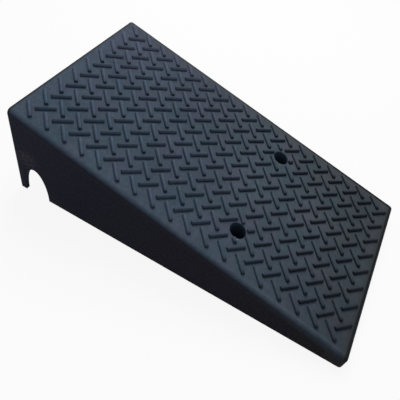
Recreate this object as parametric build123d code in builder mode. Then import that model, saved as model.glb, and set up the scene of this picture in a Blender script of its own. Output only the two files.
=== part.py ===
"""Rubber threshold ramp: a moulded wedge with a bar tread, a cable channel and two floor fixings.

Frame: millimetres, +Z up, origin at the middle of the base. +X runs down the ramp, from the high
end to the low end, and +Y runs across it.
"""
import math
import os

from build123d import *

# Overall wedge
run_length = 540.0
ramp_width = 300.0
high_end_height = 160.0
lip_height = 25.0
side_edge_radius = 11.0
end_edge_radius = 5.0

# Wear layer on top of the core
tread_thickness = 12.0
nose_length = 30.0

# Raised bars of the tread
bar_pitch_run = 29.4
bar_pitch_cross = 32.2
bar_length = 29.0
bar_width = 6.0
bar_height = 4.0
bar_angle = 45.0
bar_end_radius = 2.0
bar_root = 3.0
bar_edge_margin = 10.0
bar_shift_cross = 1.5
shortest_bar = 5.0

# Floor fixings
fixing_from_low_end = 201.0
fixing_spacing = 170.0
fixing_recess_diameter = 24.0
fixing_land_width = 2.0
bolt_bore_diameter = 13.0
bush_outer_diameter = 22.0
bush_height = 28.0
washer_outer_diameter = 38.0
washer_thickness = 3.0

# Cable channel under the high end: an arched mouth in each side wall, and between them a gallery
# that is open to the floor and to the step
channel_from_high_end = 35.0
channel_width = 44.0
channel_height = 58.0
gallery_wall = 6.0
gallery_headroom = 6.0
gallery_corner_radius = 4.0

# Pockets that lighten the core from below
pocket_size = 44.0
pocket_web = 12.0
pocket_wall = 16.0
pocket_roof = 28.0
pocket_corner_radius = 5.0

# The sloping tread
high_x = -run_length / 2
low_x = run_length / 2
rise = high_end_height - lip_height
tread_length = math.hypot(run_length, rise)
slope_cosine = run_length / tread_length
tread_plane = Plane(
    origin=(0, 0, lip_height + rise / 2),
    x_dir=(run_length, 0, -rise),
    z_dir=(rise, 0, run_length),
)


def tread_height(x, depth=0.0):
    """Height of the tread at x, or of the level that lies depth below it, square to the slope."""
    return lip_height + rise * (low_x - x) / run_length - depth / slope_cosine


# Places worked out from the sizes above
core_low_x = low_x - nose_length
fixing_x = low_x - fixing_from_low_end
fixing_points = {"near": (fixing_x, -fixing_spacing / 2), "far": (fixing_x, fixing_spacing / 2)}
washer_top = bush_height + washer_thickness
channel_x = high_x + channel_from_high_end
gallery_start = high_x - gallery_corner_radius
gallery_end = channel_x + channel_width / 2

# Bars: the crossing rows lie half a pitch apart both ways
bar_reach = bar_length * math.cos(math.radians(bar_angle))
free_run = tread_length - 2 * bar_edge_margin - bar_reach - bar_pitch_run / 2
free_cross = ramp_width - 2 * bar_edge_margin - bar_reach
bars_along = int(free_run // bar_pitch_run) + 1
bars_across = int(free_cross // bar_pitch_cross) + 1
land_radius = fixing_recess_diameter / 2 + fixing_land_width
bar_side_limit = ramp_width / 2 - bar_edge_margin - bar_width / 2 * math.cos(math.radians(bar_angle))


def bar_pieces(shift, rows, angle):
    """Length and middle of each bar of one direction. A bar stops short of a side and of a fixing."""
    cosine = math.cos(math.radians(angle))
    sine = math.sin(math.radians(angle))
    half = bar_length / 2
    pieces = []
    for i in range(bars_along):
        for j in range(rows):
            u = (i - (bars_along - 1) / 2) * bar_pitch_run + shift
            v = (j - (rows - 1) / 2) * bar_pitch_cross + bar_shift_cross
            low_end = max(-half, -(bar_side_limit + v * math.copysign(1, sine)) / abs(sine))
            high_end = min(half, (bar_side_limit - v * math.copysign(1, sine)) / abs(sine))
            spans = [(low_end, high_end)]
            for x, y in fixing_points.values():
                du = x / slope_cosine - u
                dv = y - v
                nearest = du * cosine + dv * sine
                aside = dv * cosine - du * sine
                if abs(aside) < land_radius and abs(nearest) < half + land_radius:
                    reach = math.sqrt(land_radius**2 - aside**2)
                    spans = [(low_end, min(half, nearest - reach)), (max(-half, nearest + reach), high_end)]
            for start, end in spans:
                if end - start > shortest_bar:
                    middle = (start + end) / 2
                    pieces.append((end - start, (u + middle * cosine, v + middle * sine)))
    return pieces


bar_sets = {
    bar_angle: bar_pieces(bar_pitch_run / 4, bars_across - 1, bar_angle),
    -bar_angle: bar_pieces(-bar_pitch_run / 4, bars_across, -bar_angle),
}

# Pockets: from the channel to the fixings, in rows centred on the width
pocket_pitch = pocket_size + pocket_web
pocket_start = channel_x + channel_width / 2 + pocket_wall
pocket_end = fixing_x - washer_outer_diameter / 2 - pocket_wall
pockets_along = int((pocket_end - pocket_start + pocket_web) // pocket_pitch)
pockets_across = int((ramp_width - 2 * pocket_wall + pocket_web) // pocket_pitch)
pocket_middle = pocket_start + (pockets_along * pocket_pitch - pocket_web) / 2

os.makedirs("parts", exist_ok=True)

# Outer form of the whole moulding, without bars and holes
with BuildPart() as envelope:
    with BuildSketch(Plane.XZ):
        with BuildLine():
            Polyline(
                (high_x, 0),
                (low_x, 0),
                (low_x, lip_height),
                (high_x, high_end_height),
                close=True,
            )
        make_face()
    extrude(amount=ramp_width / 2, both=True)
    fillet(envelope.edges().filter_by(Axis(tread_plane.origin, tread_plane.x_dir)), radius=side_edge_radius)
    end_edges = envelope.faces().filter_by(Axis.X).edges()
    fillet(end_edges.filter_by(lambda edge: edge.center().Z > 0), radius=end_edge_radius)

# Side profile of the core, one wear layer below the tread and one nose short of the low end
with BuildSketch(Plane.XZ) as core_profile:
    with BuildLine():
        Polyline(
            (high_x, 0),
            (core_low_x, 0),
            (core_low_x, tread_height(core_low_x, tread_thickness)),
            (high_x, tread_height(high_x, tread_thickness)),
            close=True,
        )
    make_face()

# Wear layer with its bars
with BuildPart() as tread_pad:
    add(envelope.part)
    extrude(core_profile.sketch, amount=ramp_width, both=True, mode=Mode.SUBTRACT)
    with BuildSketch(tread_plane.offset(-bar_root)):
        for angle, pieces in bar_sets.items():
            for length in sorted({length for length, place in pieces}):
                with Locations(*[place for size, place in pieces if size == length]):
                    RectangleRounded(length, bar_width, bar_end_radius, rotation=angle)
    extrude(amount=bar_root + bar_height)
    with BuildSketch(Plane.XY):
        with Locations(*fixing_points.values()):
            Circle(fixing_recess_diameter / 2)
    extrude(amount=high_end_height, mode=Mode.SUBTRACT)
tread_pad.part.label = "tread_pad"
export_step(tread_pad.part, "parts/tread_pad.step")

# Pockets up to a roof that runs parallel to the tread
with BuildPart() as pockets:
    with BuildSketch(Plane.XY):
        with Locations((pocket_middle, 0)):
            with GridLocations(pocket_pitch, pocket_pitch, pockets_along, pockets_across):
                RectangleRounded(pocket_size, pocket_size, pocket_corner_radius)
    extrude(amount=high_end_height)
    split(bisect_by=tread_plane.offset(-tread_thickness - pocket_roof), keep=Keep.BOTTOM)

# Core block with the cable channel, the pockets and the seats of the steel inserts
with BuildPart() as ramp_core:
    add(envelope.part)
    extrude(core_profile.sketch, amount=ramp_width, both=True, mode=Mode.INTERSECT)
    with BuildSketch(Plane.XZ):
        with Locations((channel_x, 0)):
            Ellipse(channel_width / 2, channel_height)
    extrude(amount=ramp_width, both=True, mode=Mode.SUBTRACT)
    with BuildSketch(Plane.XY):
        with Locations(((gallery_start + gallery_end) / 2, 0)):
            gallery_width = ramp_width - 2 * gallery_wall
            RectangleRounded(gallery_end - gallery_start, gallery_width, gallery_corner_radius)
    extrude(amount=channel_height + gallery_headroom, mode=Mode.SUBTRACT)
    add(pockets.part, mode=Mode.SUBTRACT)
    for seat_diameter, seat_floor, seat_top in (
        (bush_outer_diameter, 0.0, bush_height),
        (washer_outer_diameter, bush_height, washer_top),
        (fixing_recess_diameter, washer_top, high_end_height),
    ):
        with BuildSketch(Plane.XY.offset(seat_floor)):
            with Locations(*fixing_points.values()):
                Circle(seat_diameter / 2)
        extrude(amount=seat_top - seat_floor, mode=Mode.SUBTRACT)
ramp_core.part.label = "ramp_core"
export_step(ramp_core.part, "parts/ramp_core.step")

# Steel inserts of each fixing: the sleeve that stands on the floor and the washer on top of it
for side, point in fixing_points.items():
    with BuildPart() as bush:
        with BuildSketch(Plane.XY):
            with Locations(point):
                Circle(bush_outer_diameter / 2)
                Circle(bolt_bore_diameter / 2, mode=Mode.SUBTRACT)
        extrude(amount=bush_height)
    bush.part.label = f"{side}_bush"
    export_step(bush.part, f"parts/{side}_bush.step")

    with BuildPart() as washer:
        with BuildSketch(Plane.XY.offset(bush_height)):
            with Locations(point):
                Circle(washer_outer_diameter / 2)
                Circle(bolt_bore_diameter / 2, mode=Mode.SUBTRACT)
        extrude(amount=washer_thickness)
    washer.part.label = f"{side}_load_washer"
    export_step(washer.part, f"parts/{side}_load_washer.step")

bar_count = sum(len(pieces) for pieces in bar_sets.values())
print(f"tread {tread_length:.1f} mm long, {bar_count} bars, {pockets_along} x {pockets_across} pockets")
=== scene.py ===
# %% [markdown]
# # A moulded rubber ramp
#
# The ramp lets a wheel climb a step. It is a wedge of black rubber in two bonded layers: a tough wear
# layer with raised bars on top, and a cheaper core block below it. A round-topped channel passes under
# the high end, and two bolt holes go down through the tread.
#
# The construction model is loaded first. It is a fixed frame: its pieces keep their place and size, and
# everything made here is fitted to them, in metres.

# %% Load the frame
import math
from types import SimpleNamespace

import bpy
from mathutils import Matrix, Vector


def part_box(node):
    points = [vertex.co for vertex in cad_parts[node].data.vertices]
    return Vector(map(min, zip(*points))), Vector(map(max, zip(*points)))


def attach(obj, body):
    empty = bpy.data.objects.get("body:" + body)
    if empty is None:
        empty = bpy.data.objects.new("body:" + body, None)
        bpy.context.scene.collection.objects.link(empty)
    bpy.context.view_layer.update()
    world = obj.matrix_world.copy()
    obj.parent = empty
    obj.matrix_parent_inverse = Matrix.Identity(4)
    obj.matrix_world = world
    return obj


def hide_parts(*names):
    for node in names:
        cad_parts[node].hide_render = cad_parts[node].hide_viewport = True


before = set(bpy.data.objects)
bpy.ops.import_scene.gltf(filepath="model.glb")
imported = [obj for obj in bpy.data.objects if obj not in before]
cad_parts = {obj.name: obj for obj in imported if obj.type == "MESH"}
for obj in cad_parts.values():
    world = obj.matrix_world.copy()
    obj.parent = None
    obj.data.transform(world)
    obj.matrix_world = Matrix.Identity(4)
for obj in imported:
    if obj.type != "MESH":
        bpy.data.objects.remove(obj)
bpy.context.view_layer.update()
print("nodes:", ", ".join(sorted(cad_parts)))

# %% [markdown]
# ## Sizes
#
# The outer sizes come from the frame. The ones that a box can't show, such as the height of the low
# lip, are written once, here or where they are first needed, and used everywhere below.

# %% Sizes of the wedge
pad_low, pad_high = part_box("tread_pad")
core_low_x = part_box("ramp_core")[1].x
high_x, low_x = pad_low.x, pad_high.x
run_length = low_x - high_x
ramp_width = pad_high.y - pad_low.y
half_width = ramp_width / 2

high_end_height = 0.160
lip_height = 0.025
tread_thickness = 0.012

rise = high_end_height - lip_height
middle_height = lip_height + rise / 2
tread_length = math.hypot(run_length, rise)
slope_cosine = run_length / tread_length
slope_sine = rise / tread_length
tread_normal = Vector((rise, 0.0, run_length)) / tread_length
tread_frame = Matrix((
    (slope_cosine, 0.0, tread_normal.x, 0.0),
    (0.0, 1.0, 0.0, 0.0),
    (-slope_sine, 0.0, tread_normal.z, middle_height),
    (0.0, 0.0, 0.0, 1.0),
))


def tread_height(x, depth=0.0):
    """Height of the tread at x, or of the level that lies depth below it."""
    return lip_height + rise * (low_x - x) / run_length - depth / slope_cosine


slope = math.degrees(math.asin(slope_sine))
print(f"slope {slope:.1f} degrees, tread {1000 * tread_length:.0f} mm long")

# %% [markdown]
# ## Small helpers
#
# Blender's operators act on whatever is selected, so each step first clears the selection and then
# picks what it needs. Faces and edges are picked by a test on their place or direction, which keeps
# working when a size changes, while a list of index numbers would not.

# %% Selecting
tiny = 1e-6


def deselect():
    """Clear the selection."""
    bpy.ops.object.select_all(action="DESELECT")


def take(piece):
    """Make one object the only selected and active one."""
    deselect()
    piece.select_set(True)
    bpy.context.view_layer.objects.active = piece


def pick(piece, kind, test):
    """Go into edit mode with the vertices, edges or faces selected that pass a test."""
    take(piece)
    bpy.ops.object.mode_set(mode="EDIT")
    bpy.ops.mesh.select_mode(type=kind)
    bpy.ops.mesh.select_all(action="DESELECT")
    bpy.ops.object.mode_set(mode="OBJECT")
    mesh = piece.data
    items = {"VERT": mesh.vertices, "EDGE": mesh.edges, "FACE": mesh.polygons}[kind]
    for item in items:
        item.select = test(item)
    bpy.ops.object.mode_set(mode="EDIT")


def leave():
    """Go back to object mode."""
    bpy.ops.object.mode_set(mode="OBJECT")


def ends(piece, edge):
    """The two end points of an edge."""
    return [piece.data.vertices[i].co for i in edge.vertices]


print("picks by place, to within", 1000 * tiny, "mm")

# %% [markdown]
# A few steps come up again and again: rounding some edges, copying a piece, joining several, and
# cutting one with another. Each is a helper, so the cells below read like a list of what is done.

# %% Rounding, copying, joining and cutting
def round_edges(piece, test, radius, segments):
    """Round the edges that pass a test."""
    pick(piece, "EDGE", test)
    bpy.ops.mesh.bevel(offset=radius, segments=segments, profile=0.5, affect="EDGES")
    leave()


def copy_of(piece, name):
    """A copy of an object with its own mesh."""
    twin = piece.copy()
    twin.data = piece.data.copy()
    twin.name = name
    bpy.context.scene.collection.objects.link(twin)
    return twin


def joined(pieces, name):
    """Several objects made into one."""
    take(pieces[0])
    for piece in pieces:
        piece.select_set(True)
    bpy.ops.object.join()
    pieces[0].name = name
    return pieces[0]


def combine(piece, tool, operation, solver="EXACT"):
    """Cut, join or intersect a piece with a tool, and throw the tool away."""
    modifier = piece.modifiers.new(operation, "BOOLEAN")
    modifier.operation = operation
    modifier.solver = solver
    modifier.object = tool
    take(piece)
    bpy.ops.object.modifier_apply(modifier=modifier.name)
    bpy.data.objects.remove(tool)


def merge_points(piece):
    """Merge the points that a cut leaves on top of each other."""
    pick(piece, "VERT", lambda v: True)
    bpy.ops.mesh.remove_doubles(threshold=tiny)
    bpy.ops.mesh.dissolve_degenerate(threshold=tiny)
    leave()


print("helpers ready")

# %% [markdown]
# ## The blank
#
# Both layers come out of one mould, so both are cut from one wedge-shaped blank and meet exactly. The
# blank starts as a box whose upper edge at the low end is pulled down to the lip.

# %% Model the blank
def wedge(name, start_x, end_x, width, bottom, start_top, end_top):
    """A box whose top slopes evenly from one height to another."""
    middle_x, middle_z = (start_x + end_x) / 2, (bottom + start_top) / 2
    deselect()
    bpy.ops.mesh.primitive_cube_add(
        size=1.0, location=(middle_x, 0.0, middle_z), scale=(end_x - start_x, width, start_top - bottom))
    piece = bpy.context.object
    piece.name = name
    bpy.ops.object.transform_apply()
    pick(piece, "VERT", lambda v: v.co.x > middle_x and v.co.z > middle_z)
    bpy.ops.transform.translate(value=(0.0, 0.0, end_top - start_top))
    leave()
    return piece


blank = wedge("blank", high_x, low_x, ramp_width, 0.0, high_end_height, lip_height)
print("blank:", len(blank.data.polygons), "faces")

# %% [markdown]
# The two long edges of the tread are softly rounded, and the rounding narrows towards the thin low end. A
# bevel has one width, so its end points there are drawn together towards the corner afterwards. The ends
# are rounded more tightly, and they come second: the outline of each end is then one smooth line up one
# side, over the top and down the other, and a single small bevel can run along it without a break. Last,
# a narrow inset is laid round the flat of the tread. It keeps the smooth shading of the rounding from
# leaking into the flat.

# %% Round the blank
side_rounding_high = 0.0085
side_rounding_low = 0.006
end_rounding = 0.005
flat_inset = 0.001


def is_long_top(edge):
    """True for the two edges of the blank that run down the ramp beside the tread."""
    a, b = ends(blank, edge)
    return abs(a.x - b.x) > 0.9 * run_length and min(a.z, b.z) > 0.5 * lip_height


def is_end_outline(edge):
    """True for an edge of the blank's high or low end that isn't on the floor."""
    a, b = ends(blank, edge)
    at_end = abs(a.x - b.x) < tiny and (abs(a.x - high_x) < tiny or abs(a.x - low_x) < tiny)
    return at_end and max(a.z, b.z) > tiny


round_edges(blank, is_long_top, side_rounding_high, segments=8)
narrowing = side_rounding_low / side_rounding_high
for side_y in (-half_width, half_width):
    corner = Vector((low_x, side_y, lip_height))
    pick(blank, "VERT", lambda v: (v.co - corner).length < 1.1 * side_rounding_high)
    bpy.ops.transform.resize(value=(1.0, narrowing, narrowing), center_override=corner)
    leave()
round_edges(blank, is_end_outline, end_rounding, segments=4)
pick(blank, "FACE", lambda f: f.normal.dot(tread_normal) > 0.9999)
bpy.ops.mesh.inset(thickness=flat_inset)
leave()
print("rounded blank:", len(blank.data.polygons), "faces")

# %% [markdown]
# ## The wear layer
#
# The wear layer covers the slope and turns down to the floor at the low end as a solid nose. It is the
# blank without the space of the core. That space is a second wedge, a little longer and wider than the
# blank at the sides that it should cut through, because a cutter that ends exactly on a face leaves
# slivers behind.

# %% Cut the wear layer and the core from the blank
spill = 0.02


def core_space(name):
    """The wedge below the wear layer and behind the nose."""
    start_x = high_x - spill
    return wedge(
        name, start_x, core_low_x, ramp_width + 2 * spill, -spill,
        tread_height(start_x, tread_thickness), tread_height(core_low_x, tread_thickness))


wear_layer = copy_of(blank, "wear_layer")
combine(wear_layer, core_space("space_above"), "DIFFERENCE")
core_block = copy_of(blank, "core_block")
combine(core_block, core_space("space_below"), "INTERSECT")
bpy.data.objects.remove(blank)
print("wear layer:", len(wear_layer.data.polygons), "faces, core:", len(core_block.data.polygons), "faces")

# %% [markdown]
# ## The bolt recesses
#
# Two round recesses go straight down through the tread, so that a bolt head sits below the surface.
# They stand upright and the tread slopes, so their rims are slightly oval. A cylinder cuts each one,
# and the rim, found by its distance from the axis, is then eased so that it catches a thin light.

# %% Drill the recesses
fixing_from_low_end = 0.201
fixing_spacing = 0.170
recess_radius = 0.012
rim_ease = 0.0006
fixing_x = low_x - fixing_from_low_end
fixing_points = [(fixing_x, -fixing_spacing / 2), (fixing_x, fixing_spacing / 2)]


def rod(name, x, y, bottom, top, radius):
    """An upright cylinder between two heights, used to drill a hole."""
    deselect()
    bpy.ops.mesh.primitive_cylinder_add(
        vertices=48, radius=radius, depth=top - bottom, location=(x, y, (bottom + top) / 2))
    bpy.context.object.name = name
    bpy.ops.object.transform_apply()
    return bpy.context.object


def on_rim(edge):
    """True for an edge of the wear layer where a recess meets the tread."""
    points = ends(wear_layer, edge)
    centre = min(fixing_points, key=lambda f: (points[0].xy - Vector(f)).length)
    round_it = all(abs((p.xy - Vector(centre)).length - recess_radius) < 10 * tiny for p in points)
    return round_it and all(abs(p.z - tread_height(p.x)) < 10 * tiny for p in points)


for number, (x, y) in enumerate(fixing_points):
    combine(wear_layer, rod(f"drill_{number}", x, y, 0.0, high_end_height, recess_radius), "DIFFERENCE")
round_edges(wear_layer, on_rim, rim_ease, segments=2)
print("wear layer with recesses:", len(wear_layer.data.polygons), "faces")

# %% [markdown]
# ## One tread bar
#
# The grip comes from short raised bars. On the real ramp they are grooves in the mould, cut with a ball
# ended tool, so each bar has a round back, walls that lean in a little and nearly square ends. One bar is
# modelled along the X axis: a box whose top is drawn in, then its two long upper edges are rounded until
# they almost meet, and last the outline of both ends is eased. The root sinks just below the tread, so
# that the two can be joined cleanly.

# %% Model a bar
bar_length = 0.029
bar_width = 0.006
bar_height = 0.0040
bar_lean = 0.0003
bar_back = 0.0025
bar_end = 0.0008
root_sink = 0.0010


def tread_bar(name, length):
    """A round-backed bar of a given length, centred on the origin, with its root just below z = 0."""
    deselect()
    bpy.ops.mesh.primitive_cube_add(
        size=1.0,
        location=(0.0, 0.0, (bar_height - root_sink) / 2),
        scale=(length, bar_width, bar_height + root_sink))
    bar = bpy.context.object
    bar.name = name
    bpy.ops.object.transform_apply()
    pick(bar, "FACE", lambda f: f.normal.z > 0.9)
    bpy.ops.transform.resize(value=(1 - 2 * bar_lean / length, 1 - 2 * bar_lean / bar_width, 1.0))
    leave()

    def is_back(edge):
        """True for the two long upper edges."""
        a, b = ends(bar, edge)
        return min(a.z, b.z) > 0.9 * bar_height and abs(a.x - b.x) > 0.5 * length

    def is_end(edge):
        """True for the outline of either end, without the root."""
        a, b = ends(bar, edge)
        return a.x * b.x > 0 and max(a.z, b.z) > -0.5 * root_sink

    round_edges(bar, is_back, bar_back, segments=3)
    round_edges(bar, is_end, bar_end, segments=2)
    return bar


master_bar = tread_bar("master_bar", bar_length)
print("one bar:", len(master_bar.data.polygons), "faces")

# %% [markdown]
# ## The weave of bars
#
# The bars lie in two crossing directions, each row half a step from the next, so that a wheel always
# meets some of them end on and some side on. The whole pattern is worked out from two spacings. Around
# each bolt recess a plain ring stays free for a washer or a socket, and along both sides a plain strip. A
# bar that would run into one of them stops short: it is replaced by a shorter bar of the same section.
# The socket stands upright and the tread rises uphill, so the ring is a little wider on that side.

# %% Lay out the bars
bar_pitch_run = 0.0294
bar_pitch_cross = 0.0322
bar_shift_cross = 0.0015
bars_along = 18
bars_across = 9
bar_angle = math.radians(45.0)
plain_strip = 0.010
plain_ring = 0.002
room_uphill = 0.002
shortest_stub = 0.005

# Each direction has its shift in steps along the run, its number of rows and its angle.
first_direction = (0.25, bars_across - 1, bar_angle)
second_direction = (-0.25, bars_across, -bar_angle)
side_limit = half_width - plain_strip - bar_width / 2 * math.cos(bar_angle)
land_radius = recess_radius + plain_ring


def bar_sites():
    """Middle and direction of every bar, in the plane of the tread."""
    for shift, rows, angle in (first_direction, second_direction):
        for i in range(bars_along):
            for j in range(rows):
                u = (shift + i - (bars_along - 1) / 2) * bar_pitch_run
                v = (j - (rows - 1) / 2) * bar_pitch_cross + bar_shift_cross
                yield Vector((u, v)), Vector((math.cos(angle), math.sin(angle)))


def stretches(middle, along):
    """The parts of a bar that lie clear of the sides and the rings, as start and end along its line."""
    toward = math.copysign(1.0, along.y)
    start = max(-bar_length / 2, -(side_limit + middle.y * toward) / abs(along.y))
    end = min(bar_length / 2, (side_limit - middle.y * toward) / abs(along.y))
    for x, y in fixing_points:
        to_hole = Vector((x / slope_cosine, y)) - middle
        nearest = to_hole.dot(along)
        aside = (to_hole - nearest * along).length
        if aside < land_radius and start - land_radius < nearest < end + land_radius:
            reach = math.sqrt(land_radius ** 2 - aside ** 2)
            parts = ((start, min(end, nearest - reach - room_uphill)), (max(start, nearest + reach), end))
            return [part for part in parts if part[1] - part[0] > shortest_stub]
    return [(start, end)]


print(f"pattern of {1000 * bar_pitch_run:.1f} by {1000 * bar_pitch_cross:.1f} mm")

# %% [markdown]
# Each bar is a copy of the one above, or a shorter one, turned to its direction and moved to its place on
# the slope. With all of them in one object, the union with the slab is worked out only once.

# %% Place the bars
bars = []
for middle, along in bar_sites():
    for start, end in stretches(middle, along):
        length = end - start
        whole = abs(length - bar_length) < tiny
        bar = copy_of(master_bar, "bar") if whole else tread_bar("short_bar", length)
        place = middle + along * (start + end) / 2
        turn = Matrix.Rotation(math.atan2(along.y, along.x), 4, "Z")
        bar.data.transform(tread_frame @ Matrix.Translation((place.x, place.y, 0.0)) @ turn)
        bars.append(bar)
bpy.data.objects.remove(master_bar)
weave = joined(bars, "weave")
print(len(bars), "bars,", len(weave.data.polygons), "faces")

# %% [markdown]
# The bars and the slab are one moulding, so they become one closed mesh. Smooth shading is limited by
# angle: the roundings look round, while the foot of each bar keeps its line.

# %% Join the bars to the wear layer
smooth_angle = math.radians(50.0)
combine(wear_layer, weave, "UNION", solver="MANIFOLD")
merge_points(wear_layer)
take(wear_layer)
bpy.ops.object.shade_smooth_by_angle(angle=smooth_angle)
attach(wear_layer, "root")
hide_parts("tread_pad")
print("wear layer with bars:", len(wear_layer.data.polygons), "faces")

# %% [markdown]
# ## The core block
#
# Below the wear layer is the core. A cable or rain water can pass under its high end: each side wall has
# an arched mouth, and between them the block is notched along the foot of the step. The arch is cut by a
# cylinder that lies across the ramp and is stretched to an upright oval, of which only the upper half
# meets the block.

# %% Cut the arched mouths
channel_from_high_end = 0.035
channel_width = 0.044
channel_height = 0.058
channel_x = high_x + channel_from_high_end
channel_end_x = channel_x + channel_width / 2

deselect()
bpy.ops.mesh.primitive_cylinder_add(vertices=64, radius=channel_width / 2, depth=ramp_width + 2 * spill)
arch = bpy.context.object
arch.name = "arch"
arch.matrix_world = (
    Matrix.Translation((channel_x, 0.0, 0.0))
    @ Matrix.Diagonal((1.0, 1.0, 2 * channel_height / channel_width, 1.0))
    @ Matrix.Rotation(math.radians(90.0), 4, "X"))
bpy.ops.object.transform_apply()
combine(core_block, arch, "DIFFERENCE")
print("core with arches:", len(core_block.data.polygons), "faces")

# %% [markdown]
# The notch, or gallery, is a plain box with rounded corners. It is open to the floor and to the step, so
# its cutter sticks out at the high end. The same helper will make the cutters of the pockets: a wedge
# with its upright edges rounded.

# %% Cut the gallery
gallery_wall = 0.006
gallery_headroom = 0.006
gallery_corner = 0.004


def hollow(name, start_x, end_x, width, start_top, end_top, corner_radius):
    """A cutter for a hollow in the underside, with rounded upright corners."""
    cutter = wedge(name, start_x, end_x, width, -spill, start_top, end_top)

    def is_upright(edge):
        """True for an edge that runs straight up."""
        a, b = ends(cutter, edge)
        return (a.xy - b.xy).length < tiny

    round_edges(cutter, is_upright, corner_radius, segments=4)
    return cutter


roof = channel_height + gallery_headroom
gallery = hollow(
    "gallery", high_x - spill, channel_end_x, ramp_width - 2 * gallery_wall, roof, roof, gallery_corner)
combine(core_block, gallery, "DIFFERENCE")
print("core with gallery:", len(core_block.data.polygons), "faces")

# %% [markdown]
# A solid wedge would be heavy, so the underside has rows of pockets. One pocket is modelled and copied
# over a grid, and all the copies cut the core in a single step.

# %% Cut the pockets
pocket_size = 0.044
pocket_web = 0.012
pocket_wall = 0.016
pocket_roof = 0.028
pocket_corner = 0.005
washer_radius = 0.019
pocket_pitch = pocket_size + pocket_web
pocket_start = channel_end_x + pocket_wall
pocket_end = fixing_x - washer_radius - pocket_wall
pockets_along = int((pocket_end - pocket_start + pocket_web) // pocket_pitch)
pockets_across = int((ramp_width - 2 * pocket_wall + pocket_web) // pocket_pitch)
roof_depth = tread_thickness + pocket_roof

cutters = []
for i in range(pockets_along):
    start_x = pocket_start + i * pocket_pitch
    end_x = start_x + pocket_size
    pocket = hollow(
        "pocket", start_x, end_x, pocket_size,
        tread_height(start_x, roof_depth), tread_height(end_x, roof_depth), pocket_corner)
    for j in range(pockets_across):
        cutter = copy_of(pocket, "pocket_cutter")
        cutter.data.transform(Matrix.Translation((0.0, (j - (pockets_across - 1) / 2) * pocket_pitch, 0.0)))
        cutters.append(cutter)
    bpy.data.objects.remove(pocket)
combine(core_block, joined(cutters, "pockets"), "DIFFERENCE")
print(len(cutters), "pockets, core:", len(core_block.data.polygons), "faces")

# %% [markdown]
# Each bolt hole is stepped inside: a steel sleeve stands in the lowest part, a washer lies on top of
# the sleeve, and the wide recess goes on up to the tread. The steps are drilled to the sizes of those
# steel pieces, read from the frame.

# %% Drill the stepped bolt holes
for side, (x, y) in zip(("near", "far"), fixing_points):
    bush_low, bush_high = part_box(f"{side}_bush")
    washer_low, washer_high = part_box(f"{side}_load_washer")
    steps = (
        ("sleeve", -spill, bush_high.z, (bush_high.x - bush_low.x) / 2),
        ("washer", bush_high.z, washer_high.z, (washer_high.x - washer_low.x) / 2),
        ("recess", washer_high.z, high_end_height, recess_radius),
    )
    for name, bottom, top, radius in steps:
        combine(core_block, rod(f"{side}_{name}", x, y, bottom, top, radius), "DIFFERENCE")

merge_points(core_block)
take(core_block)
bpy.ops.object.shade_smooth_by_angle(angle=smooth_angle)
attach(core_block, "root")
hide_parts("ramp_core")
print("finished core:", len(core_block.data.polygons), "faces")

# %% [markdown]
# ## Painting with nodes
#
# Rubber is never one flat colour. A finish is painted in layers: a colour below, a colour above, and a
# mask that says where the upper one covers. The nodes for it could be drawn by hand in the shader editor.
# In code, a helper adds a node, fills its inputs and hands back the socket for the next step.

# %% Helpers for nodes
def fill(tree, node, inputs):
    """Fill the inputs of a node, each with a value or with a link from a socket."""
    for name, value in inputs.items():
        if isinstance(value, bpy.types.NodeSocket):
            tree.links.new(value, node.inputs[name])
        else:
            node.inputs[name].default_value = value


def add(tree, kind, inputs=None, **settings):
    """A node with its settings made and its inputs filled."""
    node = tree.nodes.new(kind)
    for name, value in settings.items():
        setattr(node, name, value)
    fill(tree, node, inputs or {})
    return node


def object_place(tree):
    """The place of a point in its object's own coordinates."""
    return add(tree, "ShaderNodeTexCoord").outputs["Object"]


print("node helpers ready")

# %% [markdown]
# A mask is a number between 0 and 1 that changes from place to place. Masks are made from a distance or a
# direction by a soft step, and put together by multiplying them or by taking the larger one.

# %% Helpers for masks
def paired(tree, operation, a, b):
    """Two values put together by an operation."""
    return add(tree, "ShaderNodeMath", operation=operation, inputs={0: a, 1: b}).outputs[0]


def both(tree, a, b):
    """The part that two masks have in common."""
    return paired(tree, "MULTIPLY", a, b)


def larger(tree, a, b):
    """The larger of two values."""
    return paired(tree, "MAXIMUM", a, b)


def between(tree, value, start, full):
    """A soft step, from 0 at one value to 1 at another, which may be the smaller one."""
    step = add(tree, "ShaderNodeMapRange", interpolation_type="SMOOTHSTEP",
               inputs={"Value": value, "From Min": start, "From Max": full})
    return step.outputs["Result"]


def measured_along(tree, place, direction):
    """How far a place lies in a direction."""
    node = add(tree, "ShaderNodeVectorMath", operation="DOT_PRODUCT", inputs={0: place, 1: direction})
    return node.outputs["Value"]


def distance(tree, place, point):
    """How far a place lies from a point."""
    node = add(tree, "ShaderNodeVectorMath", operation="DISTANCE", inputs={0: place, 1: point})
    return node.outputs["Value"]


def spot(tree, place, centre, radius):
    """A soft round mask about a point: 1 in the middle, 0 outside."""
    return between(tree, distance(tree, place, centre), radius, 0.2 * radius)


print("mask helpers ready")

# %% [markdown]
# Colours are changed in two ways: blended towards another colour, or made darker and lighter by a factor.

# %% Helpers for colours
def blend_values(tree, fac, low, high):
    """A value between two others."""
    blend = add(tree, "ShaderNodeMapRange", inputs={"Value": fac, "To Min": low, "To Max": high})
    return blend.outputs["Result"]


def blend_colours(tree, fac, a, b):
    """A colour between two others. Each may be a socket or a fixed colour."""
    a, b = [(*colour, 1.0) if isinstance(colour, tuple) else colour for colour in (a, b)]
    mix = add(tree, "ShaderNodeMix", data_type="RGBA", inputs={"Factor": fac, "A": a, "B": b})
    return mix.outputs["Result"]


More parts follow.
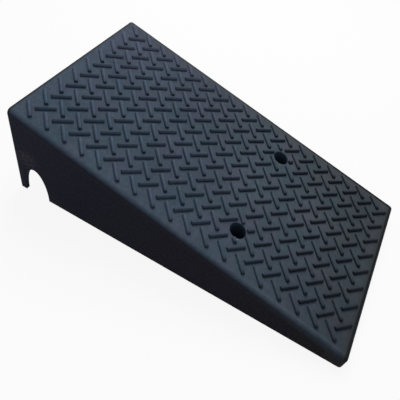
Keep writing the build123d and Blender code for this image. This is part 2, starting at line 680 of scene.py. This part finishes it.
def shaded(tree, colour, low, high, amount):
    """A colour made darker or lighter, between two factors."""
    factor = blend_values(tree, amount, low, high)
    node = add(tree, "ShaderNodeVectorMath", operation="SCALE", inputs={0: colour, "Scale": factor})
    return node.outputs["Vector"]


print("colour helpers ready")

# %% [markdown]
# ## Shared effects
#
# Five effects are used more than once, so each is a node group. The first is a mottle: a cloudy noise,
# spread out between 0 and 1. Its scale and contrast are inputs, so the same group makes broad stains,
# small patches and fine grit.

# %% The mottle
def new_group(name, inputs, output, kind="NodeSocketFloat"):
    """An empty shader group, the sockets that bring its inputs, and the node that takes its output."""
    group = bpy.data.node_groups.new(name, "ShaderNodeTree")
    for label, value in inputs.items():
        input_kind = "NodeSocketVector" if isinstance(value, tuple) else "NodeSocketFloat"
        group.interface.new_socket(label, in_out="INPUT", socket_type=input_kind).default_value = value
    group.interface.new_socket(output, in_out="OUTPUT", socket_type=kind)
    return group, group.nodes.new("NodeGroupInput").outputs, group.nodes.new("NodeGroupOutput")


def effect(tree, group, **values):
    """A shared effect, placed with its own values."""
    return add(tree, "ShaderNodeGroup", node_tree=group, inputs=values).outputs[0]


def mottle_group():
    """Cloudy variation between 0 and 1, from Object coordinates."""
    group, given, result = new_group("mottle", {"Scale": 20.0, "Contrast": 0.3}, "Value")
    noise = add(group, "ShaderNodeTexNoise", inputs={
        "Vector": object_place(group), "Scale": given["Scale"], "Detail": 5.0, "Roughness": 0.6})
    low = paired(group, "SUBTRACT", 0.5, given["Contrast"])
    high = paired(group, "ADD", 0.5, given["Contrast"])
    fill(group, result, {"Value": between(group, noise.outputs["Fac"], low, high)})
    return group


def mottled(tree, scale, contrast):
    """A mottle of one size."""
    return effect(tree, mottle, Scale=scale, Contrast=contrast)


mottle = mottle_group()
print("group:", mottle.name)

# %% [markdown]
# The skin of moulded rubber is not smooth. A fine noise with round pores taken out of it gives the height
# for the bump of both layers, coarser on the core than on the tread.

# %% The moulded grain
def grain_group():
    """Height of the fine moulded skin."""
    group, given, result = new_group("moulded_grain", {"Scale": 900.0, "Pores": 0.4}, "Height")
    place = object_place(group)
    noise = add(group, "ShaderNodeTexNoise", inputs={
        "Vector": place, "Scale": given["Scale"], "Detail": 3.0, "Roughness": 0.65})
    cells = add(group, "ShaderNodeTexVoronoi", feature="SMOOTH_F1", inputs={
        "Vector": place, "Scale": given["Scale"], "Smoothness": 0.6})
    pores = paired(group, "MULTIPLY", cells.outputs["Distance"], given["Pores"])
    fill(group, result, {"Height": paired(group, "SUBTRACT", noise.outputs["Fac"], pores)})
    return group


grain = grain_group()
print("group:", grain.name)

# %% [markdown]
# Light and shade are painted by the direction of a surface: what faces the lamp is painted lighter, and
# what turns away darker. A mask of the surfaces that look a given way tells them apart: it compares the
# direction of the surface with a direction that is an input.

# %% The mask of a direction
def upward_group():
    """Mask of the surfaces that look along a given direction."""
    group, given, result = new_group("upward", {"Up": (0.0, 0.0, 1.0), "From": 0.5, "To": 0.95}, "Mask")
    normal = add(group, "ShaderNodeTexCoord").outputs["Normal"]
    cosine = measured_along(group, normal, given["Up"])
    fill(group, result, {"Mask": between(group, cosine, given["From"], given["To"])})
    return group


def facing(tree, direction, start, full):
    """That mask for one direction, by the cosine where it starts and is full."""
    return effect(tree, upward, Up=direction, From=start, To=full)


upward = upward_group()
print("group:", upward.name)

# %% [markdown]
# Both layers share the black of the sides, so that the seam between them can't be seen. It is a little
# bluer at the high end than at the low end, with crumbs of rubber in it.

# %% The black of the sides
crumb_scale = 260.0
crumb_contrast = 0.25


def side_group():
    """Black of the sides, from the high end to the low end."""
    group, _, result = new_group("side_black", {}, "Colour", "NodeSocketColor")
    axes = add(group, "ShaderNodeSeparateXYZ", inputs={0: object_place(group)})
    downhill = add(group, "ShaderNodeMapRange", inputs={
        "Value": axes.outputs["X"], "From Min": high_x, "From Max": low_x})
    black = blend_colours(
        group, downhill.outputs["Result"], (0.0168, 0.0166, 0.0318), (0.0075, 0.0068, 0.0095))
    crumbs = mottled(group, crumb_scale, crumb_contrast)
    fill(group, result, {"Colour": shaded(group, black, 0.80, 1.12, crumbs)})
    return group


side_black = side_group()
print("group:", side_black.name)

# %% [markdown]
# The bolt recesses go through both layers too, and their walls are painted a dark blue, lighter than the
# black of the sides, as painted light in the hollow. They are found by their distance from the two upright
# axes.

# %% The walls of the recesses
def recess_group():
    """Mask of the walls of the two bolt recesses."""
    group, _, result = new_group("recess_walls", {}, "Mask")
    flat = add(group, "ShaderNodeVectorMath", operation="MULTIPLY",
               inputs={0: object_place(group), 1: (1.0, 1.0, 0.0)}).outputs["Vector"]
    near, far = [distance(group, flat, (x, y, 0.0)) for x, y in fixing_points]
    inside = add(group, "ShaderNodeMapRange", inputs={
        "Value": paired(group, "MINIMUM", near, far),
        "From Min": recess_radius + 0.0012, "From Max": recess_radius + 0.0004})
    fill(group, result, {"Mask": inside.outputs["Result"]})
    return group


recess_walls = recess_group()
print("group:", recess_walls.name)

# %% [markdown]
# ## The skin of both rubbers
#
# Both rubbers end alike: the walls of the recesses get their painted light, and the shader gets a matt skin
# with a fine bump. A low specular level keeps the white surroundings from veiling the black.

# %% Helpers for materials
# Painted light on the walls of the bolt recesses: a blue lighter than the black of the sides.
painted_recess_light = (0.033, 0.050, 0.080)
matt_specular = 0.05
skin_depth = 0.0006


def new_material(name):
    """A material with its tree and its Principled shader."""
    material = bpy.data.materials.new(name)
    material.use_nodes = True
    return material, material.node_tree, material.node_tree.nodes["Principled BSDF"]


def bumped(tree, height, strength, depth):
    """The direction of a surface with a fine relief."""
    bump = add(tree, "ShaderNodeBump", inputs={"Strength": strength, "Distance": depth, "Height": height})
    return bump.outputs["Normal"]


def rubber_skin(tree, shader, colour, roughness, grain_scale, pores, strength):
    """Finish a rubber: its colour outside the recesses, its roughness and its moulded grain."""
    height = effect(tree, grain, Scale=grain_scale, Pores=pores)
    fill(tree, shader, {
        # The walls of the recesses get the blue of painted light.
        "Base Color": blend_colours(tree, effect(tree, recess_walls), colour, painted_recess_light),
        "Roughness": roughness,
        "Specular IOR Level": matt_specular,
        "Normal": bumped(tree, height, strength, skin_depth)})


def paint(piece, material):
    """Give a piece one material."""
    piece.data.materials.clear()
    piece.data.materials.append(material)


print("material helpers ready")

# %% [markdown]
# ## The tread rubber
#
# All that wheels, feet and weather do to the tread, and the light and shade painted into it, could be
# painted by hand on an unwrapped map. Here it is worked out from the place on the ramp, the direction of
# the surface and the pattern of the bars, so it stays in step with the sizes above. First, the nodes that
# say where a point lies. To find the nearest bar of one direction, a place is counted in steps of the
# pattern. The fraction of the step says how far it is from the middle of a bar, and a turn by the bar's
# angle makes that a distance across it and along it.

# %% Find a place on the tread
tread_level = tread_normal.z * middle_height
# Towards the low end and the far side the colours turn greyer and darker: dirt together with painted shade.
toward_dirt_and_shade = (0.75, 0.60, 0.0)
# Towards the top corner the slate is more violet, and what turns away gets a lighter colour there, which is
# painted light.
toward_top_corner = (-0.5, 0.8, 0.0)


def bar_lattice(tree, place, shift, rows, angle):
    """Where a place lies across and along the nearest bar of one direction, and a mask of those bars."""
    downhill = Vector((slope_cosine, 0.0, -slope_sine))
    sideways = Vector((0.0, 1.0, 0.0))
    first_u = (shift - (bars_along - 1) / 2) * bar_pitch_run + downhill.z * middle_height
    first_v = -(rows - 1) / 2 * bar_pitch_cross + bar_shift_cross
    steps = []
    for axis, pitch, first in ((downhill, bar_pitch_run, first_u), (sideways, bar_pitch_cross, first_v)):
        steps.append(paired(tree, "ADD", measured_along(tree, place, axis / pitch), 0.5 - first / pitch))
    count = add(tree, "ShaderNodeCombineXYZ", inputs={"X": steps[0], "Y": steps[1]}).outputs[0]
    inside = add(tree, "ShaderNodeVectorMath", operation="FRACTION", inputs={0: count}).outputs[0]
    centred = add(tree, "ShaderNodeVectorMath", operation="SUBTRACT",
                  inputs={0: inside, 1: (0.5, 0.5, 0.0)}).outputs[0]
    run, cross = bar_pitch_run, bar_pitch_cross
    across = measured_along(tree, centred, (run * math.sin(angle), -cross * math.cos(angle), 0.0))
    along = measured_along(tree, centred, (run * math.cos(angle), cross * math.sin(angle), 0.0))
    limits = []
    for value, half in ((across, bar_width / 2), (along, bar_length / 2)):
        size = add(tree, "ShaderNodeMath", operation="ABSOLUTE", inputs={0: value}).outputs[0]
        limits.append(between(tree, size, half + 0.0003, half + 0.0001))
    return across, along, both(tree, *limits)


def tread_places(tree):
    """The sockets that several layers of paint share: where a point lies, and how much dirt and painted
    shade it has there.
    """
    place = object_place(tree)
    axes = add(tree, "ShaderNodeSeparateXYZ", inputs={0: place}).outputs
    across, _, first = bar_lattice(tree, place, *first_direction)
    _, along, second = bar_lattice(tree, place, *second_direction)
    return SimpleNamespace(
        place=place, x=axes["X"], y=axes["Y"],
        height=measured_along(tree, place, tread_normal),
        first_bars=first, across_first=across, second_bars=second, along_second=along,
        dirt_and_shade=between(tree, measured_along(tree, place, toward_dirt_and_shade), -0.17, 0.24),
        top_corner_tint_and_light=between(tree, measured_along(tree, place, toward_top_corner), 0.05, 0.22),
        patches=mottled(tree, 150.0, 0.30))


print(f"tread lies {1000 * tread_level:.1f} mm from the origin, along its normal")

# %% [markdown]
# Where feet, wheels and weather reach it, the tread is a worn slate. It is bluest at the high end and on
# the near side, and greyer and darker towards the low end and the far side, which is dirt together with
# painted shade. Mottles in four sizes, from broad stains to fine grit, keep it from looking painted. The
# crowns of the second bars get a painted highlight uphill, two wide areas just downhill of the middle get
# painted light, and the low near corner and the backs of the bars towards the low end and the far side get
# painted shade.

# %% Worn slate with painted light and shade
# Middle along and across the ramp, radius and brightness of the wide soft spots of painted light and
# painted shade.
light_and_shade_spots = (
    (0.09, -0.05, 0.21, 1.15),
    (0.08, 0.09, 0.19, 1.17),
    (low_x, -half_width, 0.14, 0.86),
)


def leaning(x, y):
    """The direction of the tread's normal, tipped over by a little."""
    return (tread_normal + Vector((x, y, 0.0))).normalized()


def worn_slate_and_light(tree, at):
    """The colour of all that is open to wear, with a painted highlight, painted light and painted shade."""
    stain = larger(tree, mottled(tree, 24.0, 0.19), blend_values(tree, at.top_corner_tint_and_light, 0.0, 0.85))
    blue = blend_colours(tree, stain, (0.044, 0.070, 0.095), (0.055, 0.067, 0.099))
    grey = blend_colours(tree, stain, (0.039, 0.055, 0.066), (0.049, 0.053, 0.065))
    worn = blend_colours(tree, at.dirt_and_shade, blue, grey)
    worn = shaded(tree, worn, 0.93, 1.07, mottled(tree, 13.0, 0.20))
    worn = shaded(tree, worn, 0.87, 1.13, at.patches)
    worn = shaded(tree, worn, 0.82, 1.18, mottled(tree, 620.0, 0.30))
    # Painted highlight on the crowns of the second bars, uphill.
    crown = between(tree, at.height, tread_level + 0.0030, tread_level + 0.0040)
    crown_highlight = both(tree, both(tree, crown, between(tree, at.x, 0.10, -0.10)), at.second_bars)
    worn = shaded(tree, worn, 1.00, 1.24, crown_highlight)
    # Wide pools of painted light, and painted shade at the low near corner.
    for x, y, radius, brightness in light_and_shade_spots:
        pool = spot(tree, at.place, (x, y, tread_height(x)), radius)
        worn = shaded(tree, worn, 1.00, brightness, pool)
    # Painted shade on the backs of the bars towards the low end and the far side.
    bar_back_shade = facing(tree, leaning(-0.55, 0.55), 0.81, 0.97)
    return shaded(tree, worn, 1.00, 0.80, both(tree, bar_back_shade, at.dirt_and_shade))


print("worn slate with", len(light_and_shade_spots), "wide spots")

# %% [markdown]
# Over the slate, a pale line along the lower part of the near edge is a painted highlight, and dust settles
# along the far side and at the low end.

# %% Painted highlight and dust
def dusted_and_highlighted(tree, at, worn):
    """A worn colour with a painted highlight along the near edge and with dust."""
    # The pale line along the lower part of the near edge is a painted highlight.
    inner = between(tree, at.y, 0.011 - half_width, 0.008 - half_width)
    outer = between(tree, at.y, 0.0045 - half_width, 0.0060 - half_width)
    near_highlight = both(tree, both(tree, inner, outer), between(tree, at.x, 0.05, 0.20))
    highlighted = shaded(tree, worn, 1.00, 1.18, near_highlight)
    far_side = between(tree, at.y, half_width - 0.028, half_width - 0.008)
    low_end = between(tree, at.x, low_x - 0.016, low_x - 0.005)
    dusty = blend_colours(tree, blend_values(tree, far_side, 0.0, 0.50), highlighted, (0.052, 0.058, 0.060))
    return blend_colours(tree, blend_values(tree, low_end, 0.0, 0.70), dusty, (0.033, 0.038, 0.036))


print("dust on the far side and at the low end")

# %% [markdown]
# What turns away from the lamp takes a blue-black, which is painted shade: the front walls of the bars,
# which is what makes the weave readable, and the near edge, which runs from slate through navy into the
# black of the side. The mask of painted light and shade follows the direction of the surface. It is wider
# on the near edge, and on the bars of the low end it also takes in the upper half of their side walls.

# %% Painted shade on what turns away
def lit_by_direction(tree, at):
    """Mask of painted light and shade, from 0 on the front walls of the bars to 1 on the flats."""
    aside = (Vector((-1.0, -1.0, 0.0)) + tread_normal * tread_normal.x).normalized()
    upper_half = between(tree, at.height, tread_level + 0.0016, tread_level + 0.0034)
    upper_walls = both(tree, facing(tree, aside, 0.10, 0.40), upper_half)
    high_bars = facing(tree, leaning(-0.24, 0.30), 0.60, 0.93)
    low_bars = larger(tree, facing(tree, leaning(-0.20, 0.40), 0.68, 0.905), upper_walls)
    bars_lit = blend_values(tree, between(tree, at.x, -0.15, 0.10), high_bars, low_bars)
    edge_lit = facing(tree, leaning(0.0, 0.30), -0.20, 0.95)
    on_edge = between(tree, at.y, 0.010 - half_width, 0.007 - half_width)
    return blend_values(tree, on_edge, bars_lit, edge_lit)


def shade_colour(tree, at):
    """The colour of painted shade on what turns away, lighter towards the top corner as painted light."""
    # Darker towards the low end and the far side: painted shade.
    shade = blend_colours(tree, at.dirt_and_shade, (0.046, 0.072, 0.112), (0.016, 0.021, 0.033))
    # Lighter towards the top corner: painted light.
    shade = blend_colours(tree, at.top_corner_tint_and_light, shade, (0.085, 0.098, 0.150))
    shade = shaded(tree, shade, 0.90, 1.10, at.patches)
    return shaded(tree, shade, 1.00, 1.12, both(tree, at.top_corner_tint_and_light, at.second_bars))


print("fresh rubber on the front walls and the near edge")

# %% [markdown]
# The bars get black painted shade. The bars of the first direction are darkened on their crests, and
# towards the low end down their fronts as well. Those of the second direction are darkened at their lower
# tips, more at the low end than at the high end.

# %% Painted shade on the bars
def painted_bar_shade(tree, at, colour):
    """A colour with black painted shade on the crests, fronts and tips of the bars."""
    # The place across a first bar grows towards its front, and along a second bar towards its lower tip.
    black = blend_colours(tree, at.dirt_and_shade, (0.0160, 0.0230, 0.0370), (0.0085, 0.0115, 0.0190))
    raised = between(tree, at.height, tread_level + 0.0001, tread_level + 0.0005)
    downhill = between(tree, at.x, -0.05, 0.22)
    crest_only = blend_values(tree, between(tree, at.across_first, 0.0008, 0.0026), 0.70, 0.0)
    crest_shade = both(tree, between(tree, at.across_first, -0.0034, 0.0018), larger(tree, downhill, crest_only))
    crest_shade = both(tree, both(tree, at.first_bars, raised), crest_shade)
    tip = bar_length / 2
    tip_shade = both(tree, at.second_bars, between(tree, at.along_second, tip - 0.0052, tip - 0.0016))
    tip_shade = both(tree, both(tree, tip_shade, raised), blend_values(tree, downhill, 0.35, 0.80))
    return blend_colours(tree, tip_shade, blend_colours(tree, crest_shade, colour, black), black)


# These marks on the bars are painted shade.
print("wheel marks on both directions of bars")

# %% [markdown]
# The far, the high and the low rim of the tread are painted dark, as painted shade on the rounding, and
# beside the near recess a small pale spot is a painted highlight.

# %% Painted shade on the rims and a painted highlight
# The pale spot beside the near recess is a painted highlight.
glint_x, glint_y = fixing_x + 0.0033, -fixing_spacing / 2 - 0.0131
glint_radius = 0.0042


def rimmed(tree, at, colour):
    """A colour with painted shade on the rims round it and a painted highlight in it."""
    # Painted shade on the roundings of the far, the high and the low rim.
    far_rim = between(tree, at.y, half_width - 0.0092, half_width - 0.0055)
    far_low = between(tree, at.y, half_width - 0.0105, half_width - 0.0065)
    far_low = both(tree, far_low, between(tree, at.x, 0.0, 0.20))
    high_rim = between(tree, at.x, high_x + 0.0068, high_x + 0.0032)
    low_rim = between(tree, at.x, low_x - 0.0078, low_x - 0.0042)
    rim = larger(tree, larger(tree, far_rim, far_low), larger(tree, high_rim, low_rim))
    black = blend_colours(tree, at.dirt_and_shade, (0.023, 0.025, 0.023), (0.008, 0.009, 0.012))
    glint = spot(tree, at.place, (glint_x, glint_y, tread_height(glint_x)), glint_radius)
    rims = blend_colours(tree, rim, colour, black)
    return blend_colours(tree, blend_values(tree, glint, 0.0, 0.75), rims, (0.22, 0.23, 0.24))


print("chip at", [round(1000 * c, 1) for c in (glint_x, glint_y)], "mm")

# %% [markdown]
# Now the layers are put together, from the worn slate up. Below the tread, all of it gives way to the
# black of the sides. At the low end that change reaches deeper, where wheels rub the lip as they roll on.

# %% Make the tread rubber
def tread_rubber():
    """The finish of the wear layer."""
    material, tree, shader = new_material("tread_rubber")
    at = tread_places(tree)
    worn = dusted_and_highlighted(tree, at, worn_slate_and_light(tree, at))
    # What turns away from the lamp takes the colour of painted shade.
    upper = blend_colours(tree, lit_by_direction(tree, at), shade_colour(tree, at), worn)
    # Painted shade on the bars and on the rims, and a painted highlight by the near recess.
    upper = rimmed(tree, at, painted_bar_shade(tree, at, upper))
    near_top = between(tree, at.height, tread_level - 0.0072, tread_level - 0.0004)
    low_lip = between(tree, at.height, tread_level - 0.0118, tread_level - 0.0004)
    near_top = larger(tree, near_top, both(tree, low_lip, between(tree, at.x, 0.08, 0.25)))
    colour = blend_colours(tree, near_top, effect(tree, side_black), upper)
    roughness = blend_values(tree, at.patches, 0.72, 0.60)
    rubber_skin(tree, shader, colour, roughness, grain_scale=700.0, pores=0.5, strength=0.35)
    return material


paint(wear_layer, tread_rubber())
print("tread rubber on", wear_layer.name)

# %% [markdown]
# ## The core rubber
#
# The core is pressed from recycled crumb. Its skin is matt and nearly black, with the crumbs showing as
# fine specks, with clouds where the moulding cooled unevenly, and with a few grey scuffs on the near side,
# just above the arched mouth.

# %% Make the core rubber
scuff_middle = (high_x + 0.025, -half_width, 0.075)
scuff_radius = 0.026


def core_rubber():
    """The finish of the core block."""
    material, tree, shader = new_material("core_rubber")
    colour = shaded(tree, effect(tree, side_black), 0.94, 1.06, mottled(tree, 9.0, 0.25))
    above_mouth = spot(tree, object_place(tree), scuff_middle, scuff_radius)
    scuffed = both(tree, above_mouth, mottled(tree, 200.0, 0.10))
    colour = blend_colours(tree, blend_values(tree, scuffed, 0.0, 0.8), colour, (0.055, 0.051, 0.060))
    roughness = blend_values(tree, mottled(tree, crumb_scale, crumb_contrast), 0.82, 0.66)
    rubber_skin(tree, shader, colour, roughness, grain_scale=380.0, pores=0.8, strength=0.3)
    return material


paint(core_block, core_rubber())
print("core rubber on", core_block.name)

# %% [markdown]
# ## The steel of the inserts
#
# The sleeves and washers are zinc plated. Their own construction meshes are right as they are, so they
# stay and only get a finish: bright grey metal with fine turning lines and a cloudy passivated film.

# %% Make the zinc plated steel
def zinc_steel():
    """The finish of the four steel inserts."""
    material, tree, shader = new_material("zinc_steel")
    film = mottled(tree, 90.0, 0.30)
    lines = add(tree, "ShaderNodeTexWave", bands_direction="Z", inputs={
        "Vector": object_place(tree), "Scale": 600.0, "Distortion": 1.5})
    fill(tree, shader, {
        "Base Color": blend_colours(tree, film, (0.46, 0.47, 0.50), (0.58, 0.57, 0.53)),
        "Metallic": 1.0,
        "Roughness": blend_values(tree, film, 0.28, 0.45),
        "Normal": bumped(tree, lines.outputs["Fac"], strength=0.2, depth=0.0002)})
    return material


steel = zinc_steel()
inserts = ("near_bush", "far_bush", "near_load_washer", "far_load_washer")
for name in inserts:
    paint(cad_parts[name], steel)
print("zinc steel on", len(inserts), "inserts")

# %% [markdown]
# ## Floor, light and camera
#
# The floor is pale and wide. To the camera, and in reflections, most of its colour is plain white, and
# the rest is lit, so that the soft shadow of the ramp stays. It lies a hair below the ramp, because two
# faces in one plane would flicker.

# %% Floor
floor_size = 12.0
floor_gap = 0.0002
floor_grey = (0.72, 0.72, 0.72, 1.0)
white = (1.0, 1.0, 1.0, 1.0)
white_share = 0.90


def seen_directly(tree):
    """1 for what the camera sees, straight or in a reflection, and 0 for light that is passed on."""
    ray = add(tree, "ShaderNodeLightPath").outputs
    reflected = larger(tree, ray["Is Glossy Ray"], ray["Is Transmission Ray"])
    return larger(tree, ray["Is Camera Ray"], reflected)


def floor_paint():
    """Mostly plain white to the camera, over pale paint that takes the shadow."""
    material, tree, shader = new_material("floor_paint")
    fill(tree, shader, {"Base Color": floor_grey, "Roughness": 1.0, "Specular IOR Level": 0.0})
    glow = add(tree, "ShaderNodeEmission", inputs={"Color": white, "Strength": 1.0})
    share = blend_values(tree, seen_directly(tree), 0.0, white_share)
    mix = add(tree, "ShaderNodeMixShader", inputs={0: share, 1: shader.outputs[0], 2: glow.outputs[0]})
    fill(tree, tree.nodes["Material Output"], {"Surface": mix.outputs[0]})
    return material


deselect()
bpy.ops.mesh.primitive_plane_add(size=floor_size, location=(0.0, 0.0, -floor_gap))
floor = bpy.context.object
floor.name = "floor"
paint(floor, floor_paint())
print("floor", floor_size, "m wide")

# %% [markdown]
# The surroundings are white to the camera in the same way. Their light is weaker than they look, and fills
# in from all sides.

# %% Surroundings
fill_strength = 0.33


def surroundings():
    """A white world that lights the ramp with less than it shows."""
    world = bpy.data.worlds.new("surroundings")
    world.use_nodes = True
    tree = world.node_tree
    strength = blend_values(tree, seen_directly(tree), fill_strength, 1.0)
    fill(tree, tree.nodes["Background"], {"Color": white, "Strength": strength})
    return world


bpy.context.scene.world = surroundings()
print("fill light of strength", fill_strength)

# %% [markdown]
# One large soft lamp hangs behind and above the high end. It lights the tread and the backs of the bars,
# and leaves their fronts and the near side to the weaker fill.

# %% Lamp
lamp_place = Vector((-0.30, 0.80, 1.55))
lamp_aim = Vector((0.0, 0.0, 0.06))
lamp_size = 1.2
lamp_watts = 27.0

light = bpy.data.lights.new("key", "AREA")
light.size = lamp_size
light.energy = lamp_watts
lamp = bpy.data.objects.new("key", light)
lamp_turn = (lamp_aim - lamp_place).to_track_quat("-Z", "Y").to_matrix().to_4x4()
lamp.matrix_world = Matrix.Translation(lamp_place) @ lamp_turn
bpy.context.scene.collection.objects.link(lamp)
print("lamp of", lamp_watts, "W,", round((lamp_place - lamp_aim).length, 2), "m away")

# %% [markdown]
# The camera stands in front of the near side, a little towards the low end, and looks down. It is
# turned slightly about its own axis, which sets the lean of the ramp in the picture.

# %% Camera
eye = Vector((0.1215, -0.4629, 0.5916))
target = Vector((-0.0426, 0.0149, 0.060))
roll = math.radians(12.7)

lens = bpy.data.cameras.new("camera")
lens.sensor_width = 36.0
lens.lens = 40.9
lens.shift_y = -0.10
camera = bpy.data.objects.new("camera", lens)
look = (target - eye).to_track_quat("-Z", "Y").to_matrix().to_4x4()
camera.matrix_world = Matrix.Translation(eye) @ look @ Matrix.Rotation(roll, 4, "Z")
bpy.context.scene.collection.objects.link(camera)
bpy.context.scene.camera = camera
bpy.context.scene.view_settings.view_transform = "Standard"
print("camera at", [round(c, 3) for c in eye])
